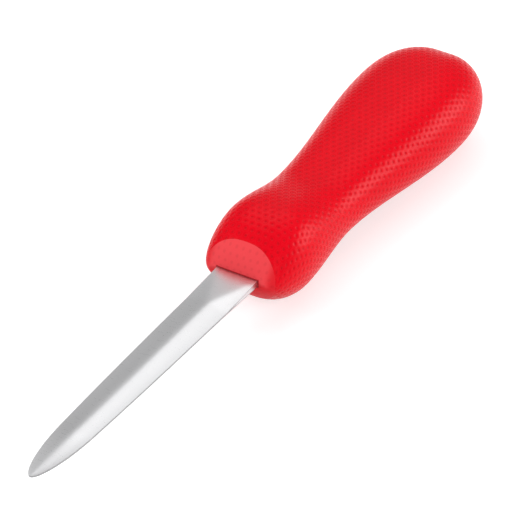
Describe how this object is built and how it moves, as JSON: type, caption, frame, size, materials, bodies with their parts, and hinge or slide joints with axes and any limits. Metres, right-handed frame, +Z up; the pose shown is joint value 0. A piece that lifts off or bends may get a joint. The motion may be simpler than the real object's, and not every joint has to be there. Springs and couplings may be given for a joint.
{
  "type": "oyster knife",
  "caption": "Oyster knife: a stiff spear-point steel blade ground to a soft ridge, fixed in a flared, pear-shaped hard core that a soft textured grip skin covers.",
  "frame": {"origin": "under the middle of the knife, on the surface that it lies on", "axes": "+X along the blade to its point, +Z up through the blade's face, +Y across the blade"},
  "size_m": [0.224, 0.0374, 0.0276],
  "materials": {
    "steel": "satin ground stainless steel",
    "core_plastic": "smooth matte red plastic",
    "grip_rubber": "soft red elastomer with a fine moulded grip texture"
  },
  "bodies": {
    "root": {"blade": "steel", "handle_core": "core_plastic", "grip_skin": "grip_rubber"}
  },
  "joints": []
}
